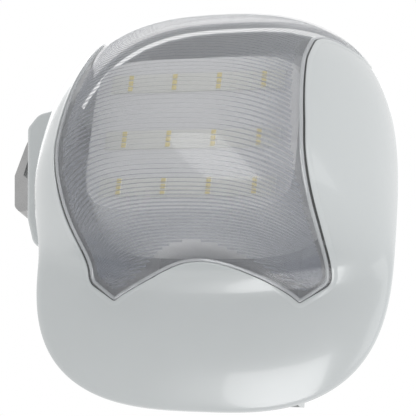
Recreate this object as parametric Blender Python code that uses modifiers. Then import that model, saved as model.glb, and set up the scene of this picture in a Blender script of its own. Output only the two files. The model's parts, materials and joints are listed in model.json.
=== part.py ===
"""Ceiling-mounted garage door opener: the power head, without its rail.

Metres, +Z up. The head hangs from the ceiling by the bridge on its back, whose top face holds
the origin. The domed cover hangs below, the lamp lens faces down and -Y, the control panel
faces +Y and the release lever is on the -X side. The rail leaves along -Y.
"""
import math

import bmesh
import bpy
from mathutils import Matrix, Vector

MM = 0.001

# Levels, measured down from the ceiling face
CHASSIS_TOP = -44.4 * MM
CHASSIS_THICK = 1.6 * MM
CHASSIS_UNDER = CHASSIS_TOP - CHASSIS_THICK
CASE_TOP = CHASSIS_UNDER - 0.3 * MM
CASE_BOTTOM = -79.5 * MM
COVER_TOP = -80.0 * MM
RIM = -83.0 * MM
GAP = 0.3 * MM

# Plan of the cover: a rounded square, wider on the lever side
HALF_WIDTH_LEVER = 163.0 * MM
HALF_WIDTH_PLAIN = 152.0 * MM
HALF_LENGTH_LAMP = 204.0 * MM
HALF_LENGTH_CHIN = 147.2 * MM
SQUARENESS = 2.9
WALL = 2.6 * MM

# The upper case leans in from the rim by these amounts at its top, and by a share of them at its foot
LEAN_LEVER = 6.0 * MM
LEAN_PLAIN = 18.0 * MM
LEAN_LAMP = 8.0 * MM
LEAN_CHIN = 16.0 * MM
FOOT_LEAN = 0.5
FLANGE_THICK = 2.4 * MM
CASE_INSET = 0.6 * MM

# Relief of the cover below the rim: a low skirt with a dome in it, both rolling up to the outline
SKIRT_DEPTH = 11.5 * MM
DOME_DEPTH = 165.8 * MM
DOME_HALF_WIDTH = 221.0 * MM
DOME_TO_LAMP = 210.4 * MM
DOME_TO_CHIN = 75.1 * MM
DOME_CENTRE_Y = -42.3 * MM
DOME_POWER = 1.95
BLEND = 18.7 * MM
FOOT_SOFTNESS = 0.1
ROLL_POWER = 3.28
FOOT_MARGIN = 1.05
FOOT_LIMIT = 0.86
AROUND = 56
DOME_RINGS = 8
SKIRT_RINGS = 4

# Lamp lens
LENS_TOP = -87.0 * MM
LENS_SUNK = 0.7 * MM
LENS_THICK = 2.2 * MM
LENS_GAP = 0.5 * MM
CUT_BELOW = -300.0 * MM
CHIN_ARC_Y = 33.0 * MM
CHIN_ARC_RADIUS = 138.0 * MM
CHIN_ARC_END_X = 73.0 * MM

# Reflector and lamp
REFLECTOR_FLOOR = -176.0 * MM
REFLECTOR_TOP = -108.0 * MM
REFLECTOR_SHEET = 1.6 * MM
FLOOR_HALF = (88.0 * MM, 66.0 * MM)
FLOOR_CENTRE_Y = -61.0 * MM
TOP_HALF = (106.0 * MM, 84.0 * MM)
TOP_CENTRE_Y = -60.0 * MM
LAMP_COLUMNS = (-57.0 * MM, -19.0 * MM, 19.0 * MM, 57.0 * MM)
LAMP_ROWS = (-105.0 * MM, -55.0 * MM, -14.0 * MM)
POSTS = ((-76, -115.6), (-76, -22), (78, -110), (78, -22))

# Drive
WHEEL_TEETH = 36
WHEEL_PITCH_RADIUS = 36.7 * MM
WHEEL_TIP_RADIUS = 38.4 * MM
WHEEL_ROOT_RADIUS = 35.0 * MM
WHEEL_THICK = 12.0 * MM
DRIVE_Z = -77.0 * MM
WORM_X = 46.0 * MM
WORM_CORE_RADIUS = 6.8 * MM
THREAD_RADIUS = 1.2 * MM
THREAD_PATH_RADIUS = 7.5 * MM
THREAD_TURNS = 4
SHAFT_RADIUS = 6.0 * MM
MOTOR_RADIUS = 28.0 * MM
MOTOR_FRONT_Y = -54.0 * MM
MOTOR_BACK_Y = -128.0 * MM
SPROCKET_TEETH = 12
SPROCKET_PITCH = 12.7 * MM
SPROCKET_Z = -27.0 * MM

# Control panel in the +Y wall of the upper case
PANEL_FACE_Y = 134.0 * MM
PANEL_THICK = 2.4 * MM
PANEL_HALF_WIDTH = 74.0 * MM
PANEL_Z = (-76.0 * MM, -50.0 * MM)
PANEL_MID_Z = -63.0 * MM
BUTTON_XS = (-58.0 * MM, -42.0 * MM, -26.0 * MM)
BUTTON_RADIUS = 4.6 * MM
TERMINAL_X = 2.0 * MM
INLET_X = 48.0 * MM

# Release lever on the side pod
POD_TOP = -48.0 * MM
POD_BOTTOM = -93.0 * MM
LEVER_PIVOT = (-178.5 * MM, -103.0 * MM)
LEVER_Z = (-77.0 * MM, -55.0 * MM)

OBJECT_NAME = "garage_door_opener"
FLAT_ANGLE = 0.0005

MATERIALS = {
    "white_gloss": ((0.62, 0.64, 0.64), 0.0, 0.22, 1.0),
    "smoked_lens": ((0.55, 0.55, 0.60), 0.0, 0.12, 0.35),
    "reflector_white": ((0.80, 0.80, 0.80), 0.0, 0.45, 1.0),
    "lamp_strip": ((0.85, 0.82, 0.62), 0.0, 0.40, 1.0),
    "zinc_steel": ((0.55, 0.56, 0.57), 1.0, 0.38, 1.0),
    "dark_steel": ((0.20, 0.20, 0.21), 1.0, 0.42, 1.0),
    "bright_steel": ((0.62, 0.62, 0.60), 1.0, 0.25, 1.0),
    "bronze": ((0.55, 0.36, 0.16), 1.0, 0.40, 1.0),
    "gear_nylon": ((0.78, 0.76, 0.68), 0.0, 0.50, 1.0),
    "black_plastic": ((0.03, 0.03, 0.03), 0.0, 0.45, 1.0),
    "grey_plastic": ((0.22, 0.23, 0.23), 0.0, 0.45, 1.0),
    "circuit_green": ((0.03, 0.16, 0.07), 0.0, 0.40, 1.0),
    "copper_winding": ((0.45, 0.17, 0.07), 0.0, 0.45, 1.0),
    "aluminium": ((0.70, 0.71, 0.72), 1.0, 0.35, 1.0),
    "button_yellow": ((0.75, 0.50, 0.05), 0.0, 0.45, 1.0),
    "relay_blue": ((0.06, 0.14, 0.35), 0.0, 0.40, 1.0),
}


# ---------------------------------------------------------------- scene helpers

def clear_scene():
    for obj in list(bpy.data.objects):
        bpy.data.objects.remove(obj, do_unlink=True)


def make_collection(name):
    collection = bpy.data.collections.new(name)
    bpy.context.scene.collection.children.link(collection)
    return collection


def make_materials():
    made = {}
    for name, (colour, metallic, roughness, alpha) in MATERIALS.items():
        material = bpy.data.materials.new(name)
        material.use_nodes = True
        shader = material.node_tree.nodes["Principled BSDF"]
        shader.inputs["Base Color"].default_value = (*colour, 1.0)
        shader.inputs["Metallic"].default_value = metallic
        shader.inputs["Roughness"].default_value = roughness
        shader.inputs["Alpha"].default_value = alpha
        made[name] = material
    return made


clear_scene()
PARTS = make_collection(OBJECT_NAME)
CUTTERS = make_collection("cutters")
MATS = make_materials()


def as_object(name, bm, material=None, location=(0, 0, 0)):
    """Wrap a bmesh in an object: a part if it has a material, otherwise a cutter."""
    bmesh.ops.recalc_face_normals(bm, faces=bm.faces)
    mesh = bpy.data.meshes.new(name)
    bm.to_mesh(mesh)
    bm.free()
    obj = bpy.data.objects.new(name, mesh)
    obj.location = location
    place(obj, material)
    return obj


def place(obj, material):
    if material:
        obj.data.materials.clear()
        obj.data.materials.append(MATS[material])
        PARTS.objects.link(obj)
    else:
        obj.hide_render = True
        obj.display_type = "WIRE"
        CUTTERS.objects.link(obj)


def smooth(obj, angle=35):
    """Shade round faces smooth and keep edges sharper than the angle."""
    bm = bmesh.new()
    bm.from_mesh(obj.data)
    for face in bm.faces:
        face.smooth = True
    for edge in bm.edges:
        edge.smooth = len(edge.link_faces) == 2 and edge.calc_face_angle() < math.radians(angle)
    bm.to_mesh(obj.data)
    bm.free()
    return obj


def bevel(obj, width, segments=2, angle=40):
    modifier = obj.modifiers.new("Bevel", "BEVEL")
    modifier.width = width
    modifier.segments = segments
    modifier.limit_method = "ANGLE"
    modifier.angle_limit = math.radians(angle)
    return obj


def boolean(obj, other, operation="DIFFERENCE"):
    modifier = obj.modifiers.new(other.name, "BOOLEAN")
    modifier.object = other
    modifier.operation = operation
    modifier.solver = "EXACT"
    return obj


def box(name, low, high, material=None, round_by=0.0, segments=2):
    """A box between two corners, in millimetres, about its own centre."""
    low = Vector(low) * MM
    high = Vector(high) * MM
    bm = bmesh.new()
    bmesh.ops.create_cube(bm, size=1.0)
    bmesh.ops.scale(bm, vec=high - low, verts=bm.verts)
    obj = as_object(name, bm, material, (low + high) / 2)
    if round_by:
        bevel(obj, round_by * MM, segments)
    return obj


def cylinder(name, radius, low, high, material=None, axis="Z", segments=28, top_radius=None):
    """A cylinder from the point low to the point high along one axis, in millimetres."""
    low = Vector(low) * MM
    high = Vector(high) * MM
    bm = bmesh.new()
    bmesh.ops.create_cone(bm, cap_ends=True, segments=segments, radius1=radius * MM,
                          radius2=(radius if top_radius is None else top_radius) * MM,
                          depth=(high - low).length)
    turn = {"X": Matrix.Rotation(math.pi / 2, 3, "Y"), "Y": Matrix.Rotation(-math.pi / 2, 3, "X"),
            "Z": Matrix.Identity(3)}[axis]
    bmesh.ops.rotate(bm, cent=(0, 0, 0), matrix=turn, verts=bm.verts)
    return smooth(as_object(name, bm, material, (low + high) / 2))


def slab(name, outline, z_low, z_high, material=None):
    """A flat outline of (x, y) points in metres, as a filled 2D curve turned into a mesh."""
    curve = bpy.data.curves.new(name, "CURVE")
    curve.dimensions = "2D"
    curve.fill_mode = "BOTH"
    curve.extrude = (z_high - z_low) / 2
    spline = curve.splines.new("POLY")
    spline.points.add(len(outline) - 1)
    for point, (x, y) in zip(spline.points, outline):
        point.co = (x, y, 0.0, 1.0)
    spline.use_cyclic_u = True
    return curve_to_mesh(name, curve, Matrix.Translation((0, 0, (z_low + z_high) / 2)), material)


def curve_to_mesh(name, curve, matrix, material=None):
    """Turn a curve into a welded mesh object and drop the curve."""
    holder = bpy.data.objects.new(name + "_curve", curve)
    holder.matrix_world = matrix
    bpy.context.scene.collection.objects.link(holder)
    graph = bpy.context.evaluated_depsgraph_get()
    mesh = bpy.data.meshes.new_from_object(holder.evaluated_get(graph))
    bm = bmesh.new()
    bm.from_mesh(mesh)
    bpy.data.meshes.remove(mesh)
    bmesh.ops.remove_doubles(bm, verts=bm.verts, dist=1e-6)
    bmesh.ops.dissolve_limit(bm, angle_limit=FLAT_ANGLE, verts=bm.verts, edges=bm.edges)
    obj = as_object(name, bm, material)
    obj.matrix_world = matrix
    bpy.data.objects.remove(holder)
    bpy.data.curves.remove(curve)
    return obj


def turned(name, profile, location, material=None, steps=28, axis="Z"):
    """A closed turned shape: (radius, height) points in millimetres, down the outer side."""
    bm = bmesh.new()
    verts = [bm.verts.new((radius * MM, 0, height * MM)) for radius, height in profile]
    for first, second in zip(verts, verts[1:]):
        bm.edges.new((first, second))
    if profile[0][0] > 0:
        bm.edges.new((verts[-1], verts[0]))
    mesh = bpy.data.meshes.new(name)
    bm.to_mesh(mesh)
    bm.free()
    obj = bpy.data.objects.new(name, mesh)
    obj.location = Vector(location) * MM
    obj.rotation_euler = {"Z": (0, 0, 0), "Y": (-math.pi / 2, 0, 0), "X": (0, math.pi / 2, 0)}[axis]
    place(obj, material)
    screw = obj.modifiers.new("Screw", "SCREW")
    screw.steps = steps
    screw.render_steps = steps
    screw.use_merge_vertices = True
    screw.merge_threshold = 1e-6
    screw.use_smooth_shade = False
    return obj


def rounded(corners, steps=5):
    """Replace each (x, y, radius) corner, in millimetres, by an arc; gives metres."""
    points = []
    count = len(corners)
    for index, (x, y, radius) in enumerate(corners):
        here = Vector((x, y))
        back = (Vector(corners[index - 1][:2]) - here).normalized()
        ahead = (Vector(corners[(index + 1) % count][:2]) - here).normalized()
        half = math.acos(max(-1.0, min(1.0, back.dot(ahead)))) / 2
        if radius == 0 or half > 1.565:
            points.append((x * MM, y * MM))
            continue
        centre = here + (back + ahead).normalized() * radius / math.sin(half)
        start = here + back * radius / math.tan(half) - centre
        end = here + ahead * radius / math.tan(half) - centre
        sweep = start.angle_signed(end)
        for step in range(steps + 1):
            arm = start.copy()
            arm.rotate(Matrix.Rotation(-sweep * step / steps, 2))
            points.append(((centre.x + arm.x) * MM, (centre.y + arm.y) * MM))
    return points


# ---------------------------------------------------------------- form of the head

def half_sizes(x, y, inset, lean):
    """Half width and half length of the plan on the side of (x, y)."""
    width = HALF_WIDTH_LEVER - LEAN_LEVER * lean if x < 0 else HALF_WIDTH_PLAIN - LEAN_PLAIN * lean
    length = HALF_LENGTH_LAMP - LEAN_LAMP * lean if y < 0 else HALF_LENGTH_CHIN - LEAN_CHIN * lean
    return width - inset, length - inset


def plan_radius(angle, inset=0.0, lean=0.0):
    """Distance from the middle to the plan outline in one direction."""
    x = math.cos(angle)
    y = math.sin(angle)
    width, length = half_sizes(x, y, inset, lean)
    return (abs(x / width) ** SQUARENESS + abs(y / length) ** SQUARENESS) ** (-1 / SQUARENESS)


def soft_sum(first, second, softness):
    """The larger of two values, with a rounded changeover."""
    larger = max(first, second)
    smaller = min(first, second)
    return larger + softness * math.log(1 + math.exp((smaller - larger) / softness))


def cover_depth(x, y):
    """Depth of the cover below the rim: the skirt and the dome, blended."""
    width, length = half_sizes(x, y, 0.0, 0.0)
    reach = min(1.0, (abs(x / width) ** SQUARENESS + abs(y / length) ** SQUARENESS) ** (1 / SQUARENESS))
    along = DOME_TO_LAMP if y < DOME_CENTRE_Y else DOME_TO_CHIN
    rho = math.hypot(x / DOME_HALF_WIDTH, (y - DOME_CENTRE_Y) / along)
    rise = soft_sum(0.0, 1 - rho ** DOME_POWER, FOOT_SOFTNESS)
    depth = soft_sum(SKIRT_DEPTH, DOME_DEPTH * rise ** (1 / DOME_POWER), BLEND)
    return depth * math.sqrt(1 - reach ** ROLL_POWER)


def foot_distance(angle):
    """Distance from the dome's middle to the dome's foot in one direction."""
    along = DOME_TO_CHIN if math.sin(angle) > 0 else DOME_TO_LAMP
    return 1 / math.hypot(math.cos(angle) / DOME_HALF_WIDTH, math.sin(angle) / along)


def border_distance(angle):
    """Distance from the dome's middle to the plan outline in one direction."""
    near, far = 0.0, 2 * (HALF_WIDTH_LEVER + HALF_LENGTH_LAMP)
    for _ in range(40):
        middle = (near + far) / 2
        x = middle * math.cos(angle)
        y = DOME_CENTRE_Y + middle * math.sin(angle)
        if math.hypot(x, y) < plan_radius(math.atan2(y, x)):
            near = middle
        else:
            far = middle
    return near


def cover_surface(name, material):
    """The open outer surface of the cover: half a sphere moved onto its form, plus its rim."""
    rings = DOME_RINGS + SKIRT_RINGS
    bm = bmesh.new()
    bmesh.ops.create_uvsphere(bm, u_segments=AROUND, v_segments=rings * 2, radius=1.0)
    above = [vert for vert in bm.verts if vert.co.z > 0.001]
    bmesh.ops.delete(bm, geom=above, context="VERTS")
    for vert in bm.verts:
        ring = round(math.acos(max(-1.0, min(1.0, -vert.co.z))) / (math.pi / 2) * rings)
        angle = math.atan2(vert.co.y, vert.co.x)
        border = border_distance(angle)
        foot = min(foot_distance(angle) * FOOT_MARGIN, border * FOOT_LIMIT)
        if ring <= DOME_RINGS:
            distance = foot * math.sin(ring / DOME_RINGS * math.pi / 2) ** 1.1
        else:
            distance = foot + (border - foot) * math.sin((ring - DOME_RINGS) / SKIRT_RINGS * math.pi / 2)
        x = distance * math.cos(angle)
        y = DOME_CENTRE_Y + distance * math.sin(angle)
        vert.co = (x, y, RIM - cover_depth(x, y))
    border_edges = [edge for edge in bm.edges if edge.is_boundary]
    lifted = bmesh.ops.extrude_edge_only(bm, edges=border_edges)["geom"]
    for vert in [item for item in lifted if isinstance(item, bmesh.types.BMVert)]:
        vert.co.z = COVER_TOP
    bmesh.ops.recalc_face_normals(bm, faces=bm.faces)
    if sum(face.normal.z for face in bm.faces) > 0:
        bmesh.ops.reverse_faces(bm, faces=bm.faces)
    for face in bm.faces:
        face.smooth = True
    mesh = bpy.data.meshes.new(name)
    bm.to_mesh(mesh)
    bm.free()
    obj = bpy.data.objects.new(name, mesh)
    place(obj, material)
    return obj


def solidify(obj, outer, thickness):
    """Thicken an open surface inward, starting at a depth of outer below it."""
    modifier = obj.modifiers.new("Solidify", "SOLIDIFY")
    modifier.thickness = thickness
    modifier.offset = -(2 * outer + thickness) / thickness
    modifier.use_even_offset = True
    return obj


def lens_outline(inset):
    """Plan outline of the lens opening, shrunk by inset on every side that shows."""
    half = []
    radius = CHIN_ARC_RADIUS + inset
    centre_y = CHIN_ARC_Y + CHIN_ARC_RADIUS
    for step in range(9):
        x = CHIN_ARC_END_X * step / 8
        half.append((x / MM, (centre_y - math.sqrt(radius ** 2 - x ** 2)) / MM, 0))
    shrink = inset / MM
    half += [(80.5 - shrink, 59.5 - shrink, 3), (106 - shrink, 43 - shrink, 12), (106.5 - shrink, 10, 60),
             (101.5 - shrink, -55, 120), (94 - shrink, -118, 80), (93.5 - shrink, -154 - shrink, 11),
             (220, -154 - shrink, 0), (220, -240, 0)]
    other = [(-x, y, r) for x, y, r in reversed(half[1:])]
    return rounded(half + other)


def tapered_ring(name, inset, material, around=AROUND):
    """The leaning wall of the upper case, as an open surface."""
    bm = bmesh.new()
    bmesh.ops.create_cone(bm, cap_ends=False, segments=around, radius1=1, radius2=1, depth=1)
    for vert in bm.verts:
        lean = 1.0 if vert.co.z > 0 else FOOT_LEAN
        angle = math.atan2(vert.co.y, vert.co.x)
        distance = plan_radius(angle, inset, lean)
        z = CASE_TOP if lean == 1.0 else CASE_BOTTOM
        vert.co = (distance * math.cos(angle), distance * math.sin(angle), z)
    bmesh.ops.recalc_face_normals(bm, faces=bm.faces)
    for face in bm.faces:
        face.smooth = True
    if sum(face.normal.dot(face.calc_center_median()) for face in bm.faces) < 0:
        bmesh.ops.reverse_faces(bm, faces=bm.faces)
    mesh = bpy.data.meshes.new(name)
    bm.to_mesh(mesh)
    bm.free()
    obj = bpy.data.objects.new(name, mesh)
    place(obj, material)
    return obj


def plan_slab(name, z_low, z_high, inset, lean, material, around=AROUND):
    """A flat plate with the plan outline."""
    outline = []
    for step in range(around):
        angle = 2 * math.pi * step / around
        distance = plan_radius(angle, inset, lean)
        outline.append((distance * math.cos(angle), distance * math.sin(angle)))
    return slab(name, outline, z_low, z_high, material)


# ---------------------------------------------------------------- cover, lens, upper case

POD_OUTLINE = [(-140, -130, 0), (-180, -119.5, 12), (-189, -106, 8), (-177, -20, 16), (-168, 4, 14), (-152, 12, 0)]
POD_HOLLOW = [(-160, -111, 0), (-183.5, -111, 6), (-184.5, -102, 4), (-174, -22, 6), (-160, -14, 0)]
CASE_BOSS_ANGLES = (-139, -49, 143, 44)
CASE_BOSS_INSET = 9.5 * MM


def case_bosses():
    """Middles of the four screw bosses, in millimetres, close to the inside of the case's top."""
    for degrees in CASE_BOSS_ANGLES:
        angle = math.radians(degrees)
        distance = plan_radius(angle, CASE_INSET + CASE_BOSS_INSET, 1.0) / MM
        yield distance * math.cos(angle), distance * math.sin(angle)


def build_cover():
    cover = solidify(cover_surface("cover", "white_gloss"), 0.0, WALL)
    pod = slab("pod_block", rounded(POD_OUTLINE, 3), POD_BOTTOM, POD_TOP)
    bevel(pod, 5 * MM, 2, 60)
    boolean(cover, pod, "UNION")
    boolean(cover, slab("lens_opening", lens_outline(0.0), CUT_BELOW, LENS_TOP))
    boolean(cover, slab("pod_hollow", rounded(POD_HOLLOW, 2), POD_BOTTOM + 12 * MM, POD_TOP - 3 * MM))
    boolean(cover, plan_slab("pod_case_room", POD_BOTTOM + 13.1 * MM, POD_TOP + 9 * MM, -1.0 * MM, 0.0, None))
    boolean(cover, box("lever_slot", (-200, -114.5, -79), (-176, -80, -53)))
    return cover


def build_lens():
    lens = solidify(cover_surface("lens", "smoked_lens"), LENS_SUNK, LENS_THICK)
    boolean(lens, slab("lens_keep", lens_outline(LENS_GAP), CUT_BELOW, LENS_TOP - LENS_GAP), "INTERSECT")
    return lens


def build_upper_case():
    case = solidify(tapered_ring("upper_case", CASE_INSET, "white_gloss"), 0.0, WALL)
    flange = plan_slab("case_flange", CASE_BOTTOM, CASE_BOTTOM + FLANGE_THICK, CASE_INSET, 0.0, None)
    boolean(flange, plan_slab("flange_inside", CASE_BOTTOM - MM, CASE_BOTTOM + 2 * FLANGE_THICK,
                              CASE_INSET + WALL - 0.6 * MM, FOOT_LEAN, None))
    boolean(case, flange, "UNION")
    for index, (x, y) in enumerate(case_bosses()):
        boss = cylinder("case_boss_%d" % index, 6.5, (x, y, -79), (x, y, -46.3), segments=20)
        boolean(case, boss, "UNION")
        rib = box("case_rib_%d" % index, (x, y - 1.5, -74), (x + math.copysign(14, x), y + 1.5, -50))
        boolean(case, rib, "UNION")
        boolean(case, cylinder("case_bore_%d" % index, 2.0, (x, y, -66), (x, y, -40), segments=16))
    boolean(case, case_trim())
    low, high = PANEL_Z
    half = PANEL_HALF_WIDTH / MM + 0.4
    face = PANEL_FACE_Y / MM
    frame = box("panel_frame", (-half - 3.4, face - 16, low / MM - 1.0), (half + 3.4, face - 0.4, high / MM + 2.4))
    boolean(case, frame, "UNION")
    boolean(case, box("panel_window", (-half, face - 22, low / MM - 0.4), (half, face + 30, high / MM + 0.4)))
    for step in range(7):
        y = -66 + 22 * step
        boolean(case, box("side_vent_%d" % step, (110, y - 7, -64), (170, y + 7, -60)))
    return case


def case_trim():
    """Everything outside the leaning wall, so that the ribs stop in it."""
    trim = box("case_trim", (-260, -260, -90), (260, 260, -30))
    wall = tapered_ring("case_trim_wall", CASE_INSET + 1.0 * MM, None)
    boolean(trim, closed_ring(wall))
    return trim


def closed_ring(wall):
    """Close the open ends of a ring."""
    bm = bmesh.new()
    bm.from_mesh(wall.data)
    bmesh.ops.holes_fill(bm, edges=bm.edges, sides=0)
    bmesh.ops.recalc_face_normals(bm, faces=bm.faces)
    bm.to_mesh(wall.data)
    bm.free()
    return wall


# ---------------------------------------------------------------- chassis and mounting

BRIDGE_BOLTS = ((-114, -20), (-114, 20), (114, -20), (114, 20))
SADDLE_BOLTS = ((-43, -64), (43, -64), (-43, -140), (43, -140))


def build_chassis():
    chassis = plan_slab("chassis_plate", CHASSIS_UNDER, CHASSIS_TOP, CASE_INSET + 1.2 * MM, 1.0, "zinc_steel")
    boolean(chassis, cylinder("shaft_hole", 12.3, (0, 0, -60), (0, 0, -30)))
    for index, (x, y) in enumerate(case_bosses()):
        boolean(chassis, cylinder("case_screw_hole_%d" % index, 2.3, (x, y, -60), (x, y, -30), segments=10))
    for index, x in enumerate((-122, -96, 96)):
        bead = box("stiffening_bead_%d" % index, (x - 4, -100, -45), (x + 4, -62, -41.6), None, 2.4)
        boolean(chassis, bead, "UNION")
    return chassis


def build_bridge():
    """The hat-shaped bridge that the ceiling brackets bolt to."""
    profile = [(-128, -41.9, 0), (-100.5, -41.9, 4), (-97.5, 0, 5), (97.5, 0, 5), (100.5, -41.9, 4), (128, -41.9, 0),
               (128, -44.1, 0), (98.2, -44.1, 4), (95.2, -2.5, 3), (-95.2, -2.5, 3), (-98.2, -44.1, 4),
               (-128, -44.1, 0)]
    bridge = slab("ceiling_bridge", rounded(profile, 4), -32 * MM, 32 * MM, "zinc_steel")
    bridge.matrix_world = Matrix.Rotation(math.pi / 2, 4, "X")
    for index, x in enumerate((-66, 66)):
        slot = slab("bridge_slot_%d" % index, rounded([(x - 18, -5, 4.9), (x + 18, -5, 4.9), (x + 18, 5, 4.9),
                                                      (x - 18, 5, 4.9)], 4), -10 * MM, 10 * MM)
        boolean(bridge, slot)
    for index, (x, y) in enumerate(BRIDGE_BOLTS):
        boolean(bridge, cylinder("bridge_hole_%d" % index, 3.4, (x, y, -50), (x, y, -35), segments=10))
    return bridge


def hex_bolt(name, x, y, under_head, head, shank_radius, length, material="bright_steel"):
    """A hexagon bolt pointing down, its head resting at under_head; millimetres."""
    bolt = cylinder(name, head, (x, y, under_head), (x, y, under_head + head * 0.75), material, segments=6)
    shank = cylinder(name + "_shank", shank_radius, (x, y, under_head - length), (x, y, under_head + 1), segments=12)
    boolean(bolt, shank, "UNION")
    return bolt


def build_fasteners():
    for index, (x, y) in enumerate(case_bosses()):
        screw = cylinder("case_screw_%d" % (index + 1), 4.0, (x, y, -44.1), (x, y, -41.8), "bright_steel", segments=16,
                         top_radius=3.2)
        boolean(screw, cylinder("case_thread_%d" % index, 1.7, (x, y, -62), (x, y, -43), segments=12), "UNION")
        boolean(screw, box("screw_slot_%d" % index, (x - 2.6, y - 0.5, -42.6), (x + 2.6, y + 0.5, -40)))
    for index, (x, y) in enumerate(BRIDGE_BOLTS):
        boolean(bpy.data.objects["chassis_plate"],
                cylinder("bridge_plate_hole_%d" % index, 3.4, (x, y, -60), (x, y, -30), segments=10))
        hex_bolt("bridge_bolt_%d" % (index + 1), x, y, -41.6, 5.6, 3.0, 6.5)


def build_rail_saddle():
    """The open channel that the rail drops into, in front of the sprocket."""
    profile = [(-50, -44.1, 0), (-50, -41.9, 0), (-36, -41.9, 2), (-36, -16, 1), (-33.6, -16, 1), (-33.6, -41.9, 2),
               (33.6, -41.9, 2), (33.6, -16, 1), (36, -16, 1), (36, -41.9, 2), (50, -41.9, 0), (50, -44.1, 0)]
    saddle = slab("rail_saddle", rounded(profile, 2), 46 * MM, 158 * MM, "zinc_steel")
    saddle.matrix_world = Matrix.Rotation(math.pi / 2, 4, "X") @ Matrix.Translation((0, 0, 102 * MM))
    for index, (x, y) in enumerate(SADDLE_BOLTS):
        for item, top in ((saddle, -30), (bpy.data.objects["chassis_plate"], -30)):
            boolean(item, cylinder("%s_hole_%d" % (item.name, index), 3.4, (x, y, -60), (x, y, top), segments=10))
        hex_bolt("rail_bolt_%d" % (index + 1), x, y, -41.6, 5.0, 3.0, 6.5)


# ---------------------------------------------------------------- drive

def build_output():
    shaft = turned("output_shaft", [(0, -12.8), (3.6, -12.8), (6, -14), (6, -92.5), (0, -92.5)], (0, 0, 0), "bright_steel")
    smooth_screw(shaft)
    turned("shaft_bushing", [(6.3, -41.6), (15.5, -41.6), (15.5, -44.1), (12, -44.1), (12, -58.5), (6.3, -58.5)],
           (0, 0, 0), "bronze")
    sprocket = cylinder("drive_sprocket", 24.2, (0, 0, -31), (0, 0, -23), "dark_steel", segments=36)
    hub = cylinder("sprocket_hub", 13, (0, 0, -40.6), (0, 0, -16.5), segments=28)
    pitch_radius = SPROCKET_PITCH / (2 * math.sin(math.pi / SPROCKET_TEETH))
    boolean(sprocket, tooth_ring("sprocket_teeth", SPROCKET_TEETH, 21 * MM, pitch_radius + 3.6 * MM, 7.2 * MM,
                                 2.4 * MM, -29.4 * MM, -24.6 * MM), "UNION")
    boolean(sprocket, hub, "UNION")
    boolean(sprocket, cylinder("sprocket_bore", 6.3, (0, 0, -50), (0, 0, -10)))
    cylinder("shaft_clip", 9.5, (0, 0, -16.2), (0, 0, -15), "bright_steel", segments=24)
    boolean(bpy.data.objects["shaft_clip"], cylinder("clip_bore", 6.3, (0, 0, -20), (0, 0, -10), segments=20))

    wheel = tooth_ring("worm_wheel", WHEEL_TEETH, WHEEL_ROOT_RADIUS, WHEEL_TIP_RADIUS, 2.8 * MM, 1.5 * MM,
                       DRIVE_Z - WHEEL_THICK / 2, DRIVE_Z + WHEEL_THICK / 2, "gear_nylon")
    boolean(wheel, cylinder("wheel_hub", 14, (0, 0, -88), (0, 0, -64)), "UNION")
    boolean(wheel, cylinder("wheel_bore", 6.3, (0, 0, -110), (0, 0, -50)))


def smooth_screw(obj):
    obj.modifiers["Screw"].use_smooth_shade = True
    return obj


def tooth_ring(name, teeth, root, tip, base_width, tip_width, z_low, z_high, material=None):
    """A disc with straight-sided teeth; one gap faces +X so that a worm can lie there."""
    outline = []
    for tooth in range(teeth):
        middle = 2 * math.pi * (tooth + 0.5) / teeth
        for radius, width in ((root, -base_width), (tip, -tip_width), (tip, tip_width), (root, base_width)):
            angle = middle + width / 2 / radius
            outline.append((radius * math.cos(angle), radius * math.sin(angle)))
    return slab(name, outline, z_low, z_high, material)


def build_rotor():
    x = WORM_X / MM
    z = DRIVE_Z / MM
    shaft = cylinder("rotor_shaft", 4.0, (x, -140, z), (x, 50, z), "bright_steel", "Y", 20)
    worm = cylinder("worm", WORM_CORE_RADIUS / MM, (x, -24, z), (x, 24, z), "dark_steel", "Y", 24)
    thread = worm_thread("worm_thread", x * MM, z * MM)
    boolean(worm, thread, "UNION")
    boolean(worm, cylinder("worm_bore", 4.3, (x, -60, z), (x, 60, z), None, "Y", 20))
    turned("rotor_core", [(4.3, 28), (19, 28), (19, -28), (4.3, -28)], (x, -87, z), "dark_steel", 24, "Y")
    turned("speed_disc", [(4.3, 1.2), (17, 1.2), (17, -1.2), (4.3, -1.2)], (x, -136, z), "black_plastic", 24, "Y")
    disc = bpy.data.objects["speed_disc"]
    for index in range(6):
        angle = 2 * math.pi * index / 6
        hole = cylinder("speed_hole_%d" % index, 2.6, (x + 12 * math.cos(angle), -142, z + 12 * math.sin(angle)),
                        (x + 12 * math.cos(angle), -130, z + 12 * math.sin(angle)), None, "Y", 10)
        boolean(disc, hole)
    return shaft


def worm_thread(name, x, z):
    """A right-handed wire along the worm, passing the wheel's open gap."""
    pitch = 2 * math.pi * WHEEL_PITCH_RADIUS / WHEEL_TEETH
    per_turn = 12
    curve = bpy.data.curves.new(name, "CURVE")
    curve.dimensions = "3D"
    curve.bevel_depth = THREAD_RADIUS
    curve.bevel_resolution = 0
    curve.use_fill_caps = True
    spline = curve.splines.new("POLY")
    count = THREAD_TURNS * per_turn
    spline.points.add(count)
    for index, point in enumerate(spline.points):
        turn = index / per_turn - THREAD_TURNS / 2
        angle = math.pi + 2 * math.pi * turn
        point.co = (x + THREAD_PATH_RADIUS * math.cos(angle), turn * pitch, z - THREAD_PATH_RADIUS * math.sin(angle), 1)
    return curve_to_mesh(name, curve, Matrix.Identity(4))


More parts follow.
